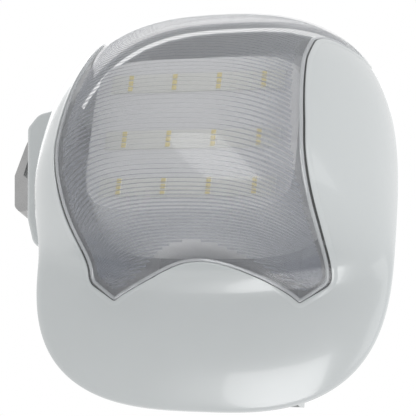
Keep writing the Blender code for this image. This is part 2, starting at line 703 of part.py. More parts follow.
def build_motor():
    x = WORM_X / MM
    z = DRIVE_Z / MM
    front = MOTOR_FRONT_Y / MM
    back = MOTOR_BACK_Y / MM
    radius = MOTOR_RADIUS / MM
    turned("motor_can", [(22, front), (radius, front), (radius, back + 8), (22, back + 8)], (x, 0, z), "zinc_steel",
           32, "Y")
    turned("motor_front_plate", [(6, front + 4.3), (radius, front + 4.3), (radius, front + 0.3), (6, front + 0.3)],
           (x, 0, z), "aluminium", 32, "Y")
    turned("motor_end_bell", [(6, back + 7.7), (radius, back + 7.7), (radius, back + 3), (radius - 4, back),
                              (6, back)], (x, 0, z), "black_plastic", 32, "Y")
    for name, y in (("motor_front_bearing", front + 0.3), ("motor_rear_bearing", back + 1)):
        turned(name, [(4.3, y + 3.6), (5.7, y + 3.6), (5.7, y), (4.3, y)], (x, 0, z), "bronze", 20, "Y")


def build_gearbox():
    x = WORM_X / MM
    z = DRIVE_Z / MM
    top = CHASSIS_UNDER / MM - 0.3
    housing = slab("gearbox_housing", rounded([(-45, -45, 18), (64, -45, 6), (64, 52, 6), (-45, 52, 18)], 5),
                   -93 * MM, top * MM, "grey_plastic")
    boolean(housing, cylinder("wheel_room", 41, (0, 0, -110), (0, 0, -62), segments=40))
    boolean(housing, box("worm_room", (20, -27, -110), (60.5, 27, -66)))
    boolean(housing, cylinder("worm_shaft_bore", 4.4, (x, -60, z), (x, 50.5, z), None, "Y", 20))
    boolean(housing, cylinder("bushing_seat", 12.3, (0, 0, -110), (0, 0, -30)))
    cover = slab("gearbox_cover", rounded([(-45, -45, 18), (64, -45, 6), (64, 52, 6), (-45, 52, 18)], 5),
                 -96.5 * MM, -93.3 * MM, "grey_plastic")
    return housing, cover


# ---------------------------------------------------------------- electrics

def build_electrics():
    box("transformer_core", (-112, -100, -94), (-54, -56, -48), "dark_steel")
    core = bpy.data.objects["transformer_core"]
    boolean(core, box("core_window_left", (-104, -120, -86), (-94, -40, -56)))
    boolean(core, box("core_window_right", (-72, -120, -86), (-62, -40, -56)))
    winding = box("transformer_winding", (-103.4, -112, -85.4), (-62.6, -44, -56.6), "copper_winding", 5.0)
    boolean(winding, box("winding_core_room", (-94.3, -100.3, -90), (-71.7, -55.7, -50)))

    box("control_board", (-82, 54, -55.6), (84, 104, -54), "circuit_green")
    for index, (x, y) in enumerate(((-76, 59), (78, 59), (-76, 99), (78, 99))):
        spacer = cylinder("board_spacer_%d" % index, 3.0, (x, y, -53.7), (x, y, -45), segments=10)
        boolean(bpy.data.objects["chassis_plate"], spacer, "UNION")
    box("relay_up", (-66, 64, -72), (-50, 84, -55.9), "relay_blue", 0.8)
    box("relay_down", (-44, 64, -72), (-28, 84, -55.9), "relay_blue", 0.8)
    cylinder("smoothing_capacitor", 9.0, (4, 74, -86), (4, 74, -55.9), "black_plastic", segments=24)
    sink = box("heat_sink", (34, 60, -80), (66, 88, -55.9), "aluminium")
    for index in range(5):
        x = 37.4 + 5.8 * index
        boolean(sink, box("sink_gap_%d" % index, (x, 50, -90), (x + 3.0, 100, -59)))


def build_panel():
    half = PANEL_HALF_WIDTH / MM
    face = PANEL_FACE_Y / MM
    back = face - PANEL_THICK / MM
    low, high = PANEL_Z[0] / MM, PANEL_Z[1] / MM
    mid = PANEL_MID_Z / MM
    inner = face - 14.6
    outer = face + 5.4
    panel = box("control_panel", (-half, back, low), (half, face, high), "grey_plastic", 0.8)
    radius = BUTTON_RADIUS / MM
    for index, x in enumerate(BUTTON_XS):
        boolean(panel, cylinder("button_hole_%d" % index, radius + 0.3, (x / MM, inner, mid), (x / MM, outer, mid), None,
                                "Y", 24))
    terminal = TERMINAL_X / MM
    boolean(panel, box("terminal_window", (terminal - 15.3, inner, mid - 6.3), (terminal + 15.3, outer, mid + 6.3)))
    inlet = INLET_X / MM
    boolean(panel, box("inlet_window", (inlet - 14.3, inner, mid - 10.3), (inlet + 14.3, outer, mid + 10.3)))

    for name, x, colour in zip(("up_button", "learn_button", "down_button"), BUTTON_XS,
                               ("black_plastic", "button_yellow", "black_plastic")):
        button = turned(name, [(0, 2.6), (radius - 1.2, 2.6), (radius, 1.4), (radius, -2.8), (radius + 1.6, -2.8),
                               (radius + 1.6, -4.4), (1.8, -4.4), (1.8, -8), (0, -8)], (x / MM, face, mid), colour,
                        16, "Y")
        smooth_screw(button)
    board = box("button_board", (-66, inner, mid - 7), (-18, inner + 1.4, mid + 7), "circuit_green")
    for index, x in enumerate(BUTTON_XS):
        switch = box("switch_%d" % index, (x / MM - 3, inner + 1, mid - 3), (x / MM + 3, inner + 4.6, mid + 3))
        boolean(board, switch, "UNION")

    block = box("terminal_block", (terminal - 15, inner - 2, mid - 6), (terminal + 15, face + 2.0, mid + 6), "grey_plastic",
                0.6)
    for index in range(4):
        x = terminal - 10.5 + 7 * index
        boolean(block, box("wire_entry_%d" % index, (x - 1.5, inner + 8, mid - 4.2), (x + 1.5, outer, mid - 1.2)))
    body = box("power_inlet", (inlet - 14, inner - 12, mid - 10), (inlet + 14, face + 1.2, mid + 10), "black_plastic", 0.8)
    boolean(body, box("plug_room", (inlet - 11.5, inner - 3, mid - 7.5), (inlet + 11.5, outer, mid + 7.5)))
    for index, (x, z) in enumerate(((-5, 1.8), (5, 1.8), (0, -2.6))):
        pin = box("inlet_pin_%d" % index, (inlet + x - 1.0, inner - 6, mid + z - 1.8), (inlet + x + 1.0, inner + 11, mid + z + 1.8))
        boolean(body, pin, "UNION")


def build_lamp():
    """The reflector tray, its posts and the three lamp strips."""
    around = 48
    bm = bmesh.new()
    bmesh.ops.create_cone(bm, cap_ends=True, segments=around, radius1=1, radius2=1, depth=1)
    top = [face for face in bm.faces if face.normal.z > 0.5]
    bmesh.ops.delete(bm, geom=top, context="FACES_ONLY")
    for vert in bm.verts:
        angle = math.atan2(vert.co.y, vert.co.x)
        is_top = vert.co.z > 0
        width, length = TOP_HALF if is_top else FLOOR_HALF
        centre = TOP_CENTRE_Y if is_top else FLOOR_CENTRE_Y
        power = 4 if is_top else 6
        scale = (abs(math.cos(angle) / width) ** power + abs(math.sin(angle) / length) ** power) ** (-1 / power)
        z = REFLECTOR_TOP if is_top else REFLECTOR_FLOOR
        vert.co = (scale * math.cos(angle), centre + scale * math.sin(angle), z)
    bmesh.ops.recalc_face_normals(bm, faces=bm.faces)
    mesh = bpy.data.meshes.new("reflector")
    bm.to_mesh(mesh)
    bm.free()
    reflector = bpy.data.objects.new("reflector", mesh)
    place(reflector, "reflector_white")
    solid = reflector.modifiers.new("Solidify", "SOLIDIFY")
    solid.thickness = REFLECTOR_SHEET
    solid.offset = -1
    back = REFLECTOR_FLOOR / MM + REFLECTOR_SHEET / MM + 0.3
    for number, (x, y) in enumerate(POSTS, 1):
        cylinder("reflector_post_%d" % number, 3.0, (x, y, back), (x, y, CHASSIS_UNDER / MM - 0.3),
                 "zinc_steel", segments=12)
    front = REFLECTOR_FLOOR / MM - 0.3
    for row, y in enumerate(LAMP_ROWS):
        y = y / MM
        strip = box("lamp_strip_%d" % (row + 1), (-74, y - 8, front - 1.6), (74, y + 8, front), "lamp_strip")
        for column, x in enumerate(LAMP_COLUMNS):
            led = cylinder("led_%d_%d" % (row, column), 3.2, (x / MM, y, front - 3.4), (x / MM, y, front - 1.2),
                           segments=12)
            boolean(strip, led, "UNION")


# ---------------------------------------------------------------- release lever

def build_lever():
    pivot_x, pivot_y = LEVER_PIVOT[0] / MM, LEVER_PIVOT[1] / MM
    low, high = LEVER_Z
    outline = [(-12, -4, 3), (-16.5, 10, 5), (-23, 38, 4), (-18.5, 68, 6), (-13, 73, 4), (-4.5, 71.5, 2),
               (-8, 42, 2), (-14.5, 38, 1.5), (-9, 7, 1), (4.5, 4, 3), (4.5, -5, 3), (-9, -6.5, 2)]
    lever = slab("release_lever", rounded(outline, 4), low, high, "bright_steel")
    lever.location = (LEVER_PIVOT[0], LEVER_PIVOT[1], (low + high) / 2)
    bevel(lever, 1.0 * MM, 1, 50)
    boolean(lever, cylinder("lever_bore", 2.3, (pivot_x, pivot_y, -100), (pivot_x, pivot_y, -30), segments=16))
    pin = cylinder("lever_pin", 2.0, (pivot_x, pivot_y, -83.7), (pivot_x, pivot_y, -46.6), "bright_steel", segments=16)
    cover = bpy.data.objects["cover"]
    boolean(cover, cylinder("pin_hole", 2.25, (pivot_x, pivot_y, -84), (pivot_x, pivot_y, -40), segments=12))
    return pin


def main():
    build_cover()
    build_lens()
    build_upper_case()
    build_chassis()
    build_bridge()
    build_fasteners()
    build_rail_saddle()
    build_output()
    build_rotor()
    build_motor()
    build_gearbox()
    build_electrics()
    build_panel()
    build_lamp()
    build_lever()


main()
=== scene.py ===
"""Looks of a ceiling-hung garage door opener head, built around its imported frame."""

import json
import math

import bmesh
import bpy
import numpy as np
from mathutils import Matrix, Vector


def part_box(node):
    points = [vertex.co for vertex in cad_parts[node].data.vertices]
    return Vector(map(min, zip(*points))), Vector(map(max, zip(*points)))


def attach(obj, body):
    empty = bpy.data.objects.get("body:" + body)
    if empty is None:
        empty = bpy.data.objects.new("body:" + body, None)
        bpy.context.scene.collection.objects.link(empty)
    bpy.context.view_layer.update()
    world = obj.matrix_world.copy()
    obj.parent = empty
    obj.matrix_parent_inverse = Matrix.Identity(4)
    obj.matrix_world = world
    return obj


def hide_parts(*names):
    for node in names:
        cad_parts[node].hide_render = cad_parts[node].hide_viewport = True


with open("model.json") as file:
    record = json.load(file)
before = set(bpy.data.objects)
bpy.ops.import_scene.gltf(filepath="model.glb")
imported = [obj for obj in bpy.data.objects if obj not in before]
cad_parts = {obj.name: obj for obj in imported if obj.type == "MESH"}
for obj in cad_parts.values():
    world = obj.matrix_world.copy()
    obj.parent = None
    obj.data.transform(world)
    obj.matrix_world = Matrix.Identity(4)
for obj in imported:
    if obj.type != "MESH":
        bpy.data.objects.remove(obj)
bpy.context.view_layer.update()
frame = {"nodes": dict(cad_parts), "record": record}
NODES = frame["nodes"]
MM = 0.001

# ------------------------------------------------------------------ form of the cover
# The same form as the CAD cover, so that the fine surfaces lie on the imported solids.

COVER_TOP = -80.0 * MM
RIM = -83.0 * MM
HALF_WIDTH_LEVER = 163.0 * MM
HALF_WIDTH_PLAIN = 152.0 * MM
HALF_LENGTH_LAMP = 204.0 * MM
HALF_LENGTH_CHIN = 147.2 * MM
SQUARENESS = 2.9
WALL = 2.6 * MM
SKIRT_DEPTH = 11.5 * MM
DOME_DEPTH = 165.8 * MM
DOME_HALF_WIDTH = 221.0 * MM
DOME_TO_LAMP = 210.4 * MM
DOME_TO_CHIN = 75.1 * MM
DOME_CENTRE_Y = -42.3 * MM
DOME_POWER = 1.95
BLEND = 18.7 * MM
FOOT_SOFTNESS = 0.1
ROLL_POWER = 3.28
FOOT_MARGIN = 1.05
FOOT_LIMIT = 0.86
CUT_BELOW = -0.3

LENS_TOP = -87.0 * MM
LENS_SUNK = 0.7 * MM
LENS_THICK = 2.2 * MM
CHIN_ARC_Y = 33.0 * MM
CHIN_ARC_RADIUS = 138.0 * MM
CHIN_ARC_END_X = 73.0 * MM


def half_sizes(x, y, inset=0.0):
    """Half width and half length of the plan on the side of (x, y)."""
    width = np.where(x < 0, HALF_WIDTH_LEVER, HALF_WIDTH_PLAIN)
    length = np.where(y < 0, HALF_LENGTH_LAMP, HALF_LENGTH_CHIN)
    return width - inset, length - inset


def plan_radius(angle, inset=0.0):
    """Distance from the middle to the plan outline in one direction."""
    x = np.cos(angle)
    y = np.sin(angle)
    width, length = half_sizes(x, y, inset)
    return (np.abs(x / width) ** SQUARENESS + np.abs(y / length) ** SQUARENESS) ** (-1 / SQUARENESS)


def cover_depth(x, y):
    """Depth of the cover below the rim: skirt and dome blended, rolling up to zero at the outline."""
    width, length = half_sizes(x, y)
    reach = (np.abs(x / width) ** SQUARENESS + np.abs(y / length) ** SQUARENESS) ** (1 / SQUARENESS)
    along = np.where(y < DOME_CENTRE_Y, DOME_TO_LAMP, DOME_TO_CHIN)
    rho = np.hypot(x / DOME_HALF_WIDTH, (y - DOME_CENTRE_Y) / along)
    rise = FOOT_SOFTNESS * np.logaddexp(0, (1 - rho ** DOME_POWER) / FOOT_SOFTNESS)
    dome = DOME_DEPTH * rise ** (1 / DOME_POWER)
    depth = BLEND * np.logaddexp(SKIRT_DEPTH / BLEND, dome / BLEND)
    return depth * np.sqrt(1 - np.minimum(1.0, reach) ** ROLL_POWER)


def cover_normal(x, y):
    """Unit normal of the cover's outside, pointing out and down."""
    step = 0.4 * MM
    slope_x = (cover_depth(x + step, y) - cover_depth(x - step, y)) / (2 * step)
    slope_y = (cover_depth(x, y + step) - cover_depth(x, y - step)) / (2 * step)
    normal = np.stack([-slope_x, -slope_y, -np.ones_like(slope_x)], -1)
    return normal / np.linalg.norm(normal, axis=-1, keepdims=True)


def border_distance(angle, inset=0.0):
    """Distance from the dome's middle to the plan outline in one direction."""
    near = np.zeros_like(angle)
    far = np.full_like(angle, 2 * (HALF_WIDTH_LEVER + HALF_LENGTH_LAMP))
    for _ in range(40):
        middle = (near + far) / 2
        x = middle * np.cos(angle)
        y = DOME_CENTRE_Y + middle * np.sin(angle)
        inside = np.hypot(x, y) < plan_radius(np.arctan2(y, x), inset)
        near = np.where(inside, middle, near)
        far = np.where(inside, far, middle)
    return near


def foot_distance(angle):
    """Distance from the dome's middle to the dome's foot in one direction."""
    along = np.where(np.sin(angle) > 0, DOME_TO_CHIN, DOME_TO_LAMP)
    return 1 / np.hypot(np.cos(angle) / DOME_HALF_WIDTH, np.sin(angle) / along)


def rounded(corners, steps=8):
    """Replace each (x, y, radius) corner, in millimetres, by an arc; gives metres."""
    points = []
    count = len(corners)
    for index, (x, y, radius) in enumerate(corners):
        here = Vector((x, y))
        back = (Vector(corners[index - 1][:2]) - here).normalized()
        ahead = (Vector(corners[(index + 1) % count][:2]) - here).normalized()
        half = math.acos(max(-1.0, min(1.0, back.dot(ahead)))) / 2
        if radius == 0 or half > 1.565:
            points.append((x * MM, y * MM))
            continue
        centre = here + (back + ahead).normalized() * radius / math.sin(half)
        start = here + back * radius / math.tan(half) - centre
        end = here + ahead * radius / math.tan(half) - centre
        sweep = start.angle_signed(end)
        for step in range(steps + 1):
            arm = start.copy()
            arm.rotate(Matrix.Rotation(-sweep * step / steps, 2))
            points.append(((centre.x + arm.x) * MM, (centre.y + arm.y) * MM))
    return points


def lens_outline(inset=0.0):
    """Plan outline of the lens opening, shrunk by inset on every side that shows."""
    radius = CHIN_ARC_RADIUS + inset
    centre_y = CHIN_ARC_Y + CHIN_ARC_RADIUS
    half = []
    for step in range(25):
        x = CHIN_ARC_END_X * step / 24
        half.append((x / MM, (centre_y - math.sqrt(radius ** 2 - x ** 2)) / MM, 0))
    shrink = inset / MM
    half += [(80.5 - shrink, 59.5 - shrink, 3), (106 - shrink, 43 - shrink, 12), (106.5 - shrink, 10, 60),
             (101.5 - shrink, -55, 120), (94 - shrink, -118, 80), (93.5 - shrink, -154 - shrink, 11),
             (220, -154 - shrink, 0), (220, -240, 0)]
    other = [(-x, y, r) for x, y, r in reversed(half[1:])]
    return rounded(half + other)


# ------------------------------------------------------------------ materials

def new_material(name, colour, metallic, roughness, alpha=1.0, coat=0.0, ior=1.5):
    material = bpy.data.materials.new(name)
    material.use_nodes = True
    shader = material.node_tree.nodes["Principled BSDF"]
    shader.inputs["Base Color"].default_value = (*colour, 1.0)
    shader.inputs["Metallic"].default_value = metallic
    shader.inputs["Roughness"].default_value = roughness
    shader.inputs["Alpha"].default_value = alpha
    shader.inputs["Coat Weight"].default_value = coat
    shader.inputs["Coat Roughness"].default_value = 0.06
    shader.inputs["IOR"].default_value = ior
    return material


def add_node(material, kind, **settings):
    node = material.node_tree.nodes.new(kind)
    for key, value in settings.items():
        if hasattr(node, key):
            setattr(node, key, value)
        else:
            node.inputs[key.replace("_", " ")].default_value = value
    return node


def link(material, out_socket, in_socket):
    material.node_tree.links.new(out_socket, in_socket)


def coordinates(material, stretch=(1, 1, 1)):
    """Object coordinates, stretched along the axes."""
    source = add_node(material, "ShaderNodeTexCoord")
    mapping = add_node(material, "ShaderNodeMapping")
    mapping.inputs["Scale"].default_value = stretch
    link(material, source.outputs["Object"], mapping.inputs["Vector"])
    return mapping.outputs["Vector"]


def noise(material, vector, scale, detail=4.0, roughness=0.55):
    node = add_node(material, "ShaderNodeTexNoise", Scale=scale, Detail=detail, Roughness=roughness)
    link(material, vector, node.inputs["Vector"])
    return node.outputs["Fac"]


def ramp(material, factor, stops):
    """A colour ramp over (position, colour) stops."""
    node = add_node(material, "ShaderNodeValToRGB")
    elements = node.color_ramp.elements
    while len(elements) < len(stops):
        elements.new(0.5)
    for element, (position, colour) in zip(elements, stops):
        element.position = position
        element.color = (*colour, 1.0)
    link(material, factor, node.inputs["Fac"])
    return node.outputs["Color"]


def remap(material, factor, low, high):
    node = add_node(material, "ShaderNodeMapRange")
    node.inputs["To Min"].default_value = low
    node.inputs["To Max"].default_value = high
    link(material, factor, node.inputs["Value"])
    return node.outputs["Result"]


def shader_input(material, name):
    return material.node_tree.nodes["Principled BSDF"].inputs[name]


def bump(material, factor, strength, distance):
    node = add_node(material, "ShaderNodeBump", Strength=strength, Distance=distance)
    link(material, factor, node.inputs["Height"])
    link(material, node.outputs["Normal"], shader_input(material, "Normal"))


def shade(colour, amount):
    return tuple(min(1.0, channel * amount) for channel in colour)


def drifting_colour(material, factor, colour, spread):
    """The base colour, a little darker and lighter where the factor is low and high."""
    stops = [(0.3, shade(colour, 1 - spread)), (0.7, shade(colour, 1 + spread))]
    link(material, ramp(material, factor, stops), shader_input(material, "Base Color"))


def uneven_gloss(material, factor, low, high):
    """Roughness between two values."""
    link(material, remap(material, factor, low, high), shader_input(material, "Roughness"))


def moulded(name, colour, roughness, texture_scale, texture_depth, coat=0.0, spread=0.05, gloss_spread=0.06):
    """Moulded plastic: faint colour drift, uneven gloss and a fine surface texture."""
    material = new_material(name, colour, 0.0, roughness, coat=coat)
    vector = coordinates(material)
    drifting_colour(material, noise(material, vector, 9.0, 3.0), colour, spread)
    gloss = noise(material, vector, 38.0, 5.0)
    uneven_gloss(material, gloss, roughness - gloss_spread, roughness + gloss_spread)
    bump(material, noise(material, vector, texture_scale, 3.0), 0.35, texture_depth)
    return material


def metal(name, colour, roughness, stretch, grain_scale, depth, spread=0.12):
    """Metal with a drawn or rolled grain along the short stretch axis and duller patches."""
    material = new_material(name, colour, 1.0, roughness)
    vector = coordinates(material, stretch)
    grain = noise(material, vector, grain_scale, 6.0, 0.7)
    patches = noise(material, coordinates(material), 24.0, 4.0)
    drifting_colour(material, patches, colour, spread)
    uneven_gloss(material, grain, roughness - 0.1, roughness + 0.12)
    bump(material, grain, 0.3, depth)
    return material


def zinc(name, colour):
    """Zinc plated sheet with a faint crystal pattern."""
    material = new_material(name, colour, 1.0, 0.36)
    vector = coordinates(material)
    cells = add_node(material, "ShaderNodeTexVoronoi", Scale=115.0)
    link(material, vector, cells.inputs["Vector"])
    stops = [(0.0, shade(colour, 0.86)), (0.9, shade(colour, 1.14))]
    tones = ramp(material, cells.outputs["Distance"], stops)
    link(material, tones, shader_input(material, "Base Color"))
    uneven_gloss(material, noise(material, vector, 60.0, 5.0), 0.26, 0.48)
    bump(material, noise(material, coordinates(material, (1, 14, 1)), 90.0, 4.0), 0.2, 0.00008)
    return material


def circuit(name, colour):
    """Solder mask over copper tracks, with dark holes."""
    material = new_material(name, colour, 0.0, 0.34, coat=0.3)
    vector = coordinates(material)
    tracks = add_node(material, "ShaderNodeTexBrick", Scale=70.0, Mortar_Size=0.045)
    tracks.inputs["Color1"].default_value = (*colour, 1.0)
    tracks.inputs["Color2"].default_value = (*shade(colour, 0.7), 1.0)
    tracks.inputs["Mortar"].default_value = (0.10, 0.30, 0.12, 1.0)
    link(material, vector, tracks.inputs["Vector"])
    link(material, tracks.outputs["Color"], shader_input(material, "Base Color"))
    uneven_gloss(material, noise(material, vector, 120.0), 0.26, 0.44)
    bump(material, tracks.outputs["Fac"], 0.4, 0.00006)
    return material


def winding(name, colour):
    """Varnished copper wire wound in even turns."""
    material = new_material(name, colour, 0.6, 0.34, coat=0.5)
    vector = coordinates(material)
    turns = add_node(material, "ShaderNodeTexWave", bands_direction="Y", Scale=330.0, Distortion=0.6)
    link(material, vector, turns.inputs["Vector"])
    stops = [(0.0, shade(colour, 0.5)), (0.6, shade(colour, 1.25))]
    link(material, ramp(material, turns.outputs["Fac"], stops), shader_input(material, "Base Color"))
    uneven_gloss(material, noise(material, vector, 80.0), 0.24, 0.44)
    bump(material, turns.outputs["Fac"], 0.6, 0.0002)
    return material


def clear_plastic(name, colour, alpha, roughness, ior):
    """Smoked clear moulding: alpha and gloss drift a little, with fine flow waviness."""
    material = new_material(name, colour, 0.0, roughness, alpha=alpha, ior=ior)
    vector = coordinates(material)
    drifting_colour(material, noise(material, vector, 11.0, 3.0), colour, 0.04)
    gloss = noise(material, vector, 45.0, 4.0)
    uneven_gloss(material, gloss, max(0.02, roughness - 0.03), roughness + 0.04)
    bump(material, noise(material, vector, 26.0, 2.0), 0.12, 0.0004)
    return material


def make_materials():
    return {
        "white_gloss": moulded("white_gloss", (0.52, 0.545, 0.55), 0.24, 900.0, 0.00003, 0.35, 0.015),
        "smoked_lens": clear_plastic("smoked_lens", (0.50, 0.51, 0.54), 0.22, 0.07, 1.6),
        "lens_rib": clear_plastic("lens_rib", (0.20, 0.23, 0.29), 0.34, 0.16, 1.5),
        "lens_edge": clear_plastic("lens_edge", (0.62, 0.64, 0.66), 0.55, 0.06, 1.7),
        # Painted shade: a black strip for the dark line where the lens meets the cover.
        "lens_gap_shade": moulded("lens_gap_shade", (0.035, 0.037, 0.036), 0.5, 600.0, 0.00005),
        "reflector_white": moulded("reflector_white", (0.82, 0.82, 0.82), 0.4, 300.0, 0.0001, spread=0.03),
        "lamp_strip": moulded("lamp_strip", (0.82, 0.82, 0.76), 0.38, 500.0, 0.00003, spread=0.04),
        "lamp_chip": moulded("lamp_chip", (0.88, 0.72, 0.20), 0.32, 800.0, 0.00004, coat=0.4, spread=0.06),
        "zinc_steel": zinc("zinc_steel", (0.56, 0.57, 0.58)),
        "dark_steel": metal("dark_steel", (0.15, 0.15, 0.16), 0.42, (1, 1, 1), 160.0, 0.0001, 0.25),
        "bright_steel": metal("bright_steel", (0.40, 0.40, 0.40), 0.26, (1, 1, 12), 60.0, 0.00005),
        "bronze": metal("bronze", (0.50, 0.32, 0.14), 0.40, (1, 1, 1), 220.0, 0.0001, 0.2),
        "gear_nylon": moulded("gear_nylon", (0.74, 0.71, 0.60), 0.46, 260.0, 0.0001),
        "black_plastic": moulded("black_plastic", (0.030, 0.030, 0.031), 0.42, 420.0, 0.00012, spread=0.15),
        "grey_plastic": moulded("grey_plastic", (0.16, 0.17, 0.17), 0.44, 420.0, 0.00012, spread=0.10),
        "circuit_green": circuit("circuit_green", (0.02, 0.13, 0.05)),
        "copper_winding": winding("copper_winding", (0.45, 0.17, 0.06)),
        "aluminium": metal("aluminium", (0.70, 0.71, 0.72), 0.34, (1, 14, 1), 80.0, 0.00008),
        "button_yellow": moulded("button_yellow", (0.72, 0.46, 0.03), 0.36, 500.0, 0.00006),
        "relay_blue": moulded("relay_blue", (0.04, 0.11, 0.32), 0.34, 500.0, 0.00006),
    }


MATS = make_materials()


def finish_cad_nodes():
    """Every carried-over CAD node takes the detailed material of its slot."""
    for row in frame["record"]["subparts"]:
        node = NODES[row["node"]]
        material = MATS[row["material_slot"]]
        if node.data.materials:
            node.material_slots[0].material = material
        else:
            node.data.materials.append(material)


# ------------------------------------------------------------------ mesh helpers

def add_piece(name, verts, faces, slot, body="head", material=None, smooth=True):
    """A mesh piece riding on a body, with the material given, else the slot's material."""
    mesh = bpy.data.meshes.new(name)
    mesh.from_pydata([tuple(v) for v in verts], [], [tuple(f) for f in faces])
    mesh.validate()
    obj = bpy.data.objects.new(name, mesh)
    bpy.context.scene.collection.objects.link(obj)
    outward(obj)
    if smooth:
        mesh.shade_smooth()
        mesh.set_sharp_from_angle(angle=math.radians(35))
    mesh.materials.append(MATS[material or slot])
    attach(obj, body)
    return obj


def outward(obj):
    bm = bmesh.new()
    bm.from_mesh(obj.data)
    bmesh.ops.recalc_face_normals(bm, faces=bm.faces)
    bm.to_mesh(obj.data)
    bm.free()


def grid_faces(rows, columns, first=0, closed=True):
    """Quads between the rows of a grid whose rows are rings when closed."""
    faces = []
    last = columns if closed else columns - 1
    for row in range(rows - 1):
        for column in range(last):
            here = first + row * columns + column
            side = first + row * columns + (column + 1) % columns
            faces.append((here, side, side + columns, here + columns))
    return faces


def form_rings(around, dome_rings, skirt_rings, inset):
    """Plan points of rings about the dome's middle out to the outline: arrays x and y."""
    angle = np.linspace(0, 2 * math.pi, around, endpoint=False)
    border = border_distance(angle, inset)
    foot = np.minimum(foot_distance(angle) * FOOT_MARGIN, border * FOOT_LIMIT)
    rings = []
    for ring in range(1, dome_rings + 1):
        rings.append(foot * math.sin(ring / dome_rings * math.pi / 2) ** 1.1)
    for ring in range(1, skirt_rings + 1):
        share = math.sin(ring / skirt_rings * math.pi / 2)
        rings.append(foot + (border - foot) * share)
    distance = np.array(rings)
    return distance * np.cos(angle), DOME_CENTRE_Y + distance * np.sin(angle)


# The form has no slope beyond the outline, so normals are taken just inside it
JUST_INSIDE = 0.999


def form_layer(around, dome_rings, skirt_rings, sunk, top):
    """Vertices of the cover's form, moved in by sunk, with a band up to top at its border."""
    x, y = form_rings(around, dome_rings, skirt_rings, sunk)
    normal = cover_normal(x * JUST_INSIDE, y * JUST_INSIDE)
    steep = np.minimum(3.0, 1 / np.maximum(0.05, -normal[..., 2]))
    z = RIM - cover_depth(x, y) + sunk * steep
    z = np.minimum(z, RIM + sunk)
    rings = [np.stack([x[i], y[i], z[i]], -1) for i in range(len(x))]
    edge = rings[-1]
    for share in (0.25, 0.5, 0.75, 1.0):
        band = edge.copy()
        band[:, 2] = edge[:, 2] + (top - edge[:, 2]) * share
        rings.append(band)
    lowest = RIM - cover_depth(np.array(0.0), np.array(DOME_CENTRE_Y))
    middle = np.array([[0.0, DOME_CENTRE_Y, lowest + sunk]])
    return middle, np.array(rings)


def form_shell(name, sunk, thick, top, slot, around=288, dome_rings=84, skirt_rings=30):
    """A closed shell on the cover's form: an outer and an inner layer joined along the top."""
    verts = []
    faces = []
    rows = dome_rings + skirt_rings + 4
    for depth in (sunk, sunk + thick):
        middle, rings = form_layer(around, dome_rings, skirt_rings, depth, top)
        first = len(verts)
        verts.extend(middle)
        verts.extend(rings.reshape(-1, 3))
        faces += [(first, first + 1 + i, first + 1 + (i + 1) % around) for i in range(around)]
        faces += grid_faces(rows, around, first + 1)
    layer = 1 + rows * around
    edge = layer - around
    for i in range(around):
        follow = (i + 1) % around
        faces.append((edge + i, edge + follow, layer + edge + follow, layer + edge + i))
    return add_piece(name, verts, faces, slot)


def prism(name, outline, z_low, z_high):
    """A cutter: a flat outline between two levels."""
    bm = bmesh.new()
    low = [bm.verts.new((x, y, z_low)) for x, y in outline]
    face = bm.faces.new(low)
    lifted = bmesh.ops.extrude_face_region(bm, geom=[face])["geom"]
    top = [element for element in lifted if isinstance(element, bmesh.types.BMVert)]
    bmesh.ops.translate(bm, vec=(0, 0, z_high - z_low), verts=top)
    bmesh.ops.recalc_face_normals(bm, faces=bm.faces)
    mesh = bpy.data.meshes.new(name)
    bm.to_mesh(mesh)
    bm.free()
    obj = bpy.data.objects.new(name, mesh)
    bpy.context.scene.collection.objects.link(obj)
    return obj


def block(name, low, high):
    """A cutter: a box between two corners in millimetres."""
    low, high = Vector(low) * MM, Vector(high) * MM
    bm = bmesh.new()
    bmesh.ops.create_cube(bm, size=1.0)
    bmesh.ops.scale(bm, vec=high - low, verts=bm.verts)
    bmesh.ops.translate(bm, vec=(low + high) / 2, verts=bm.verts)
    mesh = bpy.data.meshes.new(name)
    bm.to_mesh(mesh)
    bm.free()
    obj = bpy.data.objects.new(name, mesh)
    bpy.context.scene.collection.objects.link(obj)
    return obj


def carve(obj, cutter, operation="DIFFERENCE"):
    """Apply a Boolean and drop the cutter."""
    modifier = obj.modifiers.new("carve", "BOOLEAN")
    modifier.object = cutter
    modifier.operation = operation
    modifier.solver = "EXACT"
    graph = bpy.context.evaluated_depsgraph_get()
    mesh = bpy.data.meshes.new_from_object(obj.evaluated_get(graph))
    obj.modifiers.clear()
    old = obj.data
    obj.data = mesh
    bpy.data.meshes.remove(old)
    bpy.data.objects.remove(cutter)
    mesh.shade_smooth()
    mesh.set_sharp_from_angle(angle=math.radians(35))


# ------------------------------------------------------------------ cover and lens shells

POD_OUTLINE = [(-140, -130, 0), (-180, -119.5, 12), (-189, -106, 8), (-177, -20, 16), (-168, 4, 14),
               (-152, 12, 0)]
POD_HOLLOW = [(-160, -111, 0), (-183.5, -111, 6), (-184.5, -102, 4), (-174, -22, 6), (-160, -14, 0)]
POD_BOTTOM = -93.0 * MM
POD_TOP = -48.0 * MM


def pod_block():
    """The hollow housing of the release lever, with rounded edges."""
    pod = prism("pod_block", rounded(POD_OUTLINE), POD_BOTTOM, POD_TOP)
    modifier = pod.modifiers.new("Bevel", "BEVEL")
    modifier.width = 5 * MM
    modifier.segments = 6
    modifier.limit_method = "ANGLE"
    modifier.angle_limit = math.radians(60)
    return pod


